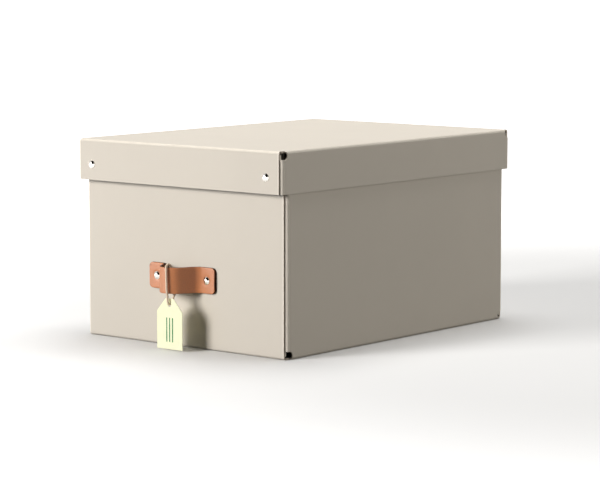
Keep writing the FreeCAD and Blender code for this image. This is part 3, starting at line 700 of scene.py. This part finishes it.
class ARCHIVAL_OT_board(bpy.types.Operator):
    """Finishes every board panel of the body and the lid"""

    bl_idname = "archival.board"
    bl_label = "Board"

    def execute(self, context):
        settings = context.scene.archival_board
        beside = CREASE_RADIUS + SCORE_GAP
        beyond = 1.0  # farther than any panel reaches

        fold_x = BOX_SIDE - FOLD_RADIUS
        fold_y = -WALL_Y - BOARD - FOLD_RADIUS
        front = board_finish("board_front", settings, self.upright_edges, [(2, 0.0, beside)],
                             [(0, fold_x, PAINTED_HIGHLIGHT_FOLD, 0.8)])
        side = board_finish("board_side", settings, side_panel(CREASE_RADIUS, beyond),
                            [(1, 0.0, fold_y - FOLD_SCORE_GAP), (2, 0.0, beside)])
        fold = board_finish("board_fold", settings, upright_fold, [(0, 0.0, fold_x - FOLD_SCORE_GAP)],
                            [(0, BOX_SIDE, FOLD_RADIUS, 1.0)])
        base = board_finish("board_base", settings, level_panel,
                            [(0, 0.0, BOX_SIDE - beside), (1, 0.0, -WALL_Y - beside)])
        self.paint_panels("", front, side, fold)
        paint("base_panel", base)

        middle_y = (LID_FRONT + LID_REAR) / 2
        end_y = (LID_REAR - LID_FRONT) / 2
        fold_x = LID_SIDE - FOLD_RADIUS
        fold_y = end_y - BOARD - FOLD_RADIUS
        front = board_finish("lid_board_front", settings, self.upright_edges, [(2, LID_TOP - beside, 0.0)],
                             [(0, fold_x, PAINTED_HIGHLIGHT_FOLD, 0.8), (2, LID_TOP, PAINTED_HIGHLIGHT_TOP, 0.5)])
        side = board_finish("lid_board_side", settings, side_panel(-beyond, LID_TOP - CREASE_RADIUS),
                            [(1, middle_y, fold_y - FOLD_SCORE_GAP), (2, LID_TOP - beside, 0.0)])
        fold = board_finish("lid_board_fold", settings, upright_fold, [(0, 0.0, fold_x - FOLD_SCORE_GAP)],
                            [(0, LID_SIDE, FOLD_RADIUS, 1.0)])
        top = board_finish("lid_board_top", settings, level_panel,
                           [(0, 0.0, LID_SIDE - beside), (1, middle_y, end_y - beside)])
        self.paint_panels("lid_", front, side, fold)
        paint("lid_top_panel", top)
        return {"FINISHED"}

    def paint_panels(self, prefix, front, side, fold):
        upright = "skirt" if prefix else "wall"
        for end in ("front", "rear"):
            paint(f"{prefix}{end}_{upright}", front)
            for hand in ("left", "right"):
                paint(f"{prefix}{end}_{hand}_flap", fold)
        for hand in ("left", "right"):
            paint(f"{prefix}{hand}_{upright}", side)

    @staticmethod
    def upright_edges(shader, normal, place):
        """A front or rear panel: its ends face sideways; its rim faces up, above the crease."""
        ends = shader.ramp(shader.maths("ABSOLUTE", normal[0]), 0.6, 0.8)
        flat = shader.ramp(shader.maths("ABSOLUTE", normal[2]), 0.97, 0.99)
        return shader.maths("MAXIMUM", ends, shader.maths("MULTIPLY", flat, 0.5))


class ARCHIVAL_OT_studs(bpy.types.Operator):
    """Makes the domed caps of the press studs and finishes their hidden pieces"""

    bl_idname = "archival.studs"
    bl_label = "Press studs"

    def execute(self, context):
        nickel = polished_nickel("polished_nickel")
        dull = dull_nickel("dull_nickel")
        for prefix, body, front, rear in (("box_stud", "box", WALL_Y, -WALL_Y),
                                          ("lid_stud", "lid", LID_FRONT, LID_REAR)):
            places, radius = corner_places(f"{prefix}_caps", front, rear)
            caps = domed_caps(f"{prefix}_domes", places, CAP_FIT * radius, STUD_RISE, nickel)
            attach(caps, body)
            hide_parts(f"{prefix}_caps")
            for kind in ("sockets", "nubs", "backs"):
                paint(f"{prefix}_{kind}", dull)
        return {"FINISHED"}


# A deep bow gets a tighter crown, so that its feet keep a radius of their own
CROWN_SHARE = 0.65

# The strap's material slots
GRAIN_SIDE, CUT_EDGE, FLESH_SIDE = range(3)


class ARCHIVAL_OT_handle(bpy.types.Operator):
    """Makes the bowed leather strap and its rivets"""

    bl_idname = "archival.handle"
    bl_label = "Handle"

    def execute(self, context):
        settings = context.scene.archival_handle
        radius = (RIVETS_HIGH.z - RIVETS_LOW.z) / 2
        level = (RIVETS_HIGH.z + RIVETS_LOW.z) / 2
        rivets = (RIVETS_LOW.x + radius, RIVETS_HIGH.x - radius)
        strap = self.strap(settings, rivets)
        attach(strap, "box")
        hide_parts("handle_strap")
        nickel = polished_nickel("rivet_nickel")
        face = WALL_Y - settings.thickness
        places = [(Vector((x, face, level)), Vector((0, -1, 0))) for x in rivets]
        caps = domed_caps("handle_rivet_domes", places, CAP_FIT * radius, RIVET_RISE, nickel)
        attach(caps, "box")
        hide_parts("handle_rivet_caps")
        dull = dull_nickel("rivet_inner_nickel")
        paint("handle_rivet_posts", dull)
        paint("handle_washers", dull)
        return {"FINISHED"}

    def bow(self, settings):
        """The bow's crown arc, straight flanks and foot arcs, tangent to each other."""
        angle = settings.bow_angle
        rise = (WALL_Y - STRAP_LOW.y) - settings.thickness
        span = settings.bow_half_width
        flank = (rise * math.sin(angle) - span * (1 - math.cos(angle))) / (
            math.sin(angle) ** 2 - math.cos(angle) * (1 - math.cos(angle)))
        radii = (span - flank * math.cos(angle)) / math.sin(angle)
        crown = min(settings.crown_radius, CROWN_SHARE * radii)
        return angle, rise, span, flank, crown, radii - crown

    def along(self, bow, half, travel):
        """The point and the outward direction at a distance along the strap's middle line from its crown."""
        angle, rise, span, flank, crown, foot = bow
        side = 1.0 if travel >= 0 else -1.0
        left = abs(travel)
        if left <= crown * angle + flank:
            turn = min(left / crown, angle)
            past = left - crown * turn
            x = crown * math.sin(turn) + past * math.cos(turn)
            depth = half + rise - crown + crown * math.cos(turn) - past * math.sin(turn)
        else:
            turn = max(angle - (left - crown * angle - flank) / foot, 0.0)
            past = left - crown * angle - flank - foot * (angle - turn)
            x = span - foot * math.sin(turn) + past
            depth = half + foot - foot * math.cos(turn)
        return Vector((side * x, WALL_Y - depth)), Vector((side * math.sin(turn), -math.cos(turn)))

    def strap(self, settings, rivets):
        """A flat strap with rounded ends and eased edges, bent to the bow."""
        bow = self.bow(settings)
        angle, _, span, flank, crown, foot = bow
        bowed = (crown + foot) * angle + flank
        half_length = bowed + STRAP_HIGH.x - span
        half_width = (STRAP_HIGH.z - STRAP_LOW.z) / 2
        level = (STRAP_HIGH.z + STRAP_LOW.z) / 2
        bm = bmesh.new()
        corners = ((-1, -1), (1, -1), (1, 1), (-1, 1))
        bm.faces.new([bm.verts.new((x * half_length, 0.0, z * half_width)) for x, z in corners])
        bmesh.ops.bevel(bm, geom=list(bm.verts), offset=settings.corner, segments=8, profile=0.5,
                        affect="VERTICES", material=-1)
        step = 1.0 * MM
        cut_across(bm, 0, -half_length + step, step, int(2 * half_length / step))
        rows = 10
        row = 2 * half_width / rows
        cut_across(bm, 2, -half_width + row, row, rows - 1)
        raised = bmesh.ops.extrude_face_region(bm, geom=bm.faces[:])
        top = [item for item in raised["geom"] if isinstance(item, bmesh.types.BMVert)]
        bmesh.ops.translate(bm, vec=(0, -settings.thickness, 0), verts=top)
        bmesh.ops.translate(bm, vec=(0, settings.thickness / 2, 0), verts=bm.verts)
        bmesh.ops.recalc_face_normals(bm, faces=bm.faces)
        sharp = [edge for edge in bm.edges if edge.calc_face_angle(0.0) > math.radians(60)]
        eased = 0.55 * MM
        bmesh.ops.bevel(bm, geom=sharp, offset=eased, segments=4, profile=0.5, affect="EDGES", material=-1)
        for face in bm.faces:
            outward = -face.normal.y
            if outward > 0.35:
                face.material_index = GRAIN_SIDE
            elif outward < -0.75:
                face.material_index = FLESH_SIDE
            else:
                face.material_index = CUT_EDGE
        for vert in bm.verts:
            point, outward = self.along(bow, settings.thickness / 2, vert.co.x)
            offset = -vert.co.y
            vert.co = Vector((point.x + outward.x * offset, point.y + outward.y * offset, level + vert.co.z))
        return piece_from(bm, "handle_strap_leather", leather_finish(settings, rivets),
                          leather_edge_finish(settings), flesh_finish(settings))


def area_light(name, power, size, place, target, colour=(1.0, 1.0, 1.0)):
    """A square lamp that faces the target."""
    light = bpy.data.lights.new(name, "AREA")
    light.shape = "SQUARE"
    light.size = size
    light.energy = power
    light.color = colour
    lamp = bpy.data.objects.new(name, light)
    lamp.location = place
    lamp.rotation_euler = (Vector(target) - Vector(place)).to_track_quat("-Z", "Y").to_euler()
    bpy.context.scene.collection.objects.link(lamp)
    return lamp


# The dark part of the room that the domed caps reflect: in front, to the left and a little above. It is
# dark within the first angle of its middle and fades out by the second.
DARK_PATCH_WAY = (-0.180, -0.918, 0.353)
DARK_PATCH_CORE = math.radians(24)
DARK_PATCH_RIM = math.radians(34)

LIGHT_DISTANCE = 4.6


class ARCHIVAL_OT_stage(bpy.types.Operator):
    """Makes the pale floor, the soft lights and the room that the domed caps reflect"""

    bl_idname = "archival.stage"
    bl_label = "Stage"

    def execute(self, context):
        settings = context.scene.archival_stage
        scene = context.scene
        scene.view_settings.view_transform = "Standard"
        scene.view_settings.look = "None"

        middle = Vector((0.0, 0.0, 0.1))
        key_way = Vector((-0.378, -0.909, 0.285)).normalized()
        key = area_light("key_light", settings.key_power, 1.6, middle + LIGHT_DISTANCE * key_way, middle,
                         (1.0, 0.985, 0.965))
        key.visible_glossy = False
        sheen_way = Vector((-0.64, -0.765, 0.05)).normalized()
        sheen = area_light("sheen_light", settings.sheen_power, 2.0, middle + LIGHT_DISTANCE * sheen_way,
                           middle)
        sheen.visible_diffuse = False
        area_light("top_light", settings.top_power, 1.6, (-0.1, 0.45, 2.3), middle, (1.0, 0.995, 0.985))
        area_light("fill_light", settings.fill_power, 2.4, (4.3, 3.1, 1.5), middle, (1.0, 0.97, 0.90))
        self.world(scene, settings)
        self.floor()
        return {"FINISHED"}

    def world(self, scene, settings):
        """Even ambient light and a white backdrop; glossy surfaces see a bright room with one dark patch."""
        world = bpy.data.worlds.new("studio")
        scene.world = world
        world.use_nodes = True
        tree = world.node_tree
        background = tree.nodes["Background"]
        background.inputs["Color"].default_value = (1.0, 0.98, 0.95, 1.0)
        way = tree.nodes.new("ShaderNodeTexCoord")
        along = tree.nodes.new("ShaderNodeVectorMath")
        along.operation = "DOT_PRODUCT"
        along.inputs[1].default_value = DARK_PATCH_WAY
        tree.links.new(way.outputs["Generated"], along.inputs[0])
        room = tree.nodes.new("ShaderNodeMapRange")
        room.interpolation_type = "SMOOTHSTEP"
        tree.links.new(along.outputs["Value"], room.inputs["Value"])
        room.inputs["From Min"].default_value = math.cos(DARK_PATCH_RIM)
        room.inputs["From Max"].default_value = math.cos(DARK_PATCH_CORE)
        room.inputs["To Min"].default_value = 0.75
        room.inputs["To Max"].default_value = 0.01
        path = tree.nodes.new("ShaderNodeLightPath")
        level = tree.nodes.new("ShaderNodeMapRange")
        tree.links.new(path.outputs["Is Glossy Ray"], level.inputs["Value"])
        level.inputs["To Min"].default_value = settings.ambient
        tree.links.new(room.outputs["Result"], level.inputs["To Max"])
        backdrop = tree.nodes.new("ShaderNodeMapRange")
        tree.links.new(path.outputs["Is Camera Ray"], backdrop.inputs["Value"])
        tree.links.new(level.outputs["Result"], backdrop.inputs["To Min"])
        backdrop.inputs["To Max"].default_value = 1.1
        tree.links.new(backdrop.outputs["Result"], background.inputs["Strength"])

    def floor(self):
        """A wide pale floor that brightens to white away from the box."""
        bm = bmesh.new()
        bmesh.ops.create_circle(bm, cap_ends=True, segments=96, radius=60.0)
        shader = Shader("pale_floor")
        place = shader.parts(shader.coordinates.outputs["Object"])
        # the glow is weakest a little behind and right of the box, where its shadow falls
        right = shader.maths("SUBTRACT", place[0], 0.3)
        back = shader.maths("SUBTRACT", place[1], 0.25)
        glow = shader.ramp(shader.distance(right, back), 0.45, 1.4)
        shader.plug(shader.surface.inputs["Emission Strength"], glow)
        shader.surface.inputs["Emission Color"].default_value = (1, 1, 1, 1)
        grain = shader.bump(shader.noise(300.0, 2.0), 0.01 * MM, 0.2)
        shader.finish((0.86, 0.86, 0.86, 1.0), 0.7, grain, Specular_IOR_Level=0.1)
        floor = piece_from(bm, "floor", shader.material, smooth=False)
        floor.visible_diffuse = False


class ARCHIVAL_PT_panel(bpy.types.Panel):
    """Lists the pieces of the box"""

    bl_idname = "ARCHIVAL_PT_panel"
    bl_label = "Archival box"
    bl_space_type = "VIEW_3D"
    bl_region_type = "UI"
    bl_category = "Archival box"

    def draw(self, context):
        for operator in OPERATORS:
            self.layout.operator(operator.bl_idname)


OPERATORS = (
    ARCHIVAL_OT_camera,
    ARCHIVAL_OT_tag,
    ARCHIVAL_OT_board,
    ARCHIVAL_OT_studs,
    ARCHIVAL_OT_handle,
    ARCHIVAL_OT_stage,
)
SETTINGS = (
    ("archival_board", BoardSettings),
    ("archival_handle", HandleSettings),
    ("archival_tag", TagSettings),
    ("archival_stage", StageSettings),
)


def register():
    for name, group in SETTINGS:
        bpy.utils.register_class(group)
        setattr(bpy.types.Scene, name, PointerProperty(type=group))
    for operator in OPERATORS:
        bpy.utils.register_class(operator)
    bpy.utils.register_class(ARCHIVAL_PT_panel)


def unregister():
    bpy.utils.unregister_class(ARCHIVAL_PT_panel)
    for operator in reversed(OPERATORS):
        bpy.utils.unregister_class(operator)
    for name, group in reversed(SETTINGS):
        delattr(bpy.types.Scene, name)
        bpy.utils.unregister_class(group)


def main():
    register()
    bpy.ops.archival.camera()
    bpy.ops.archival.tag()
    bpy.ops.archival.board()
    bpy.ops.archival.studs()
    bpy.ops.archival.handle()
    bpy.ops.archival.stage()


if __name__ == "__main__":
    main()
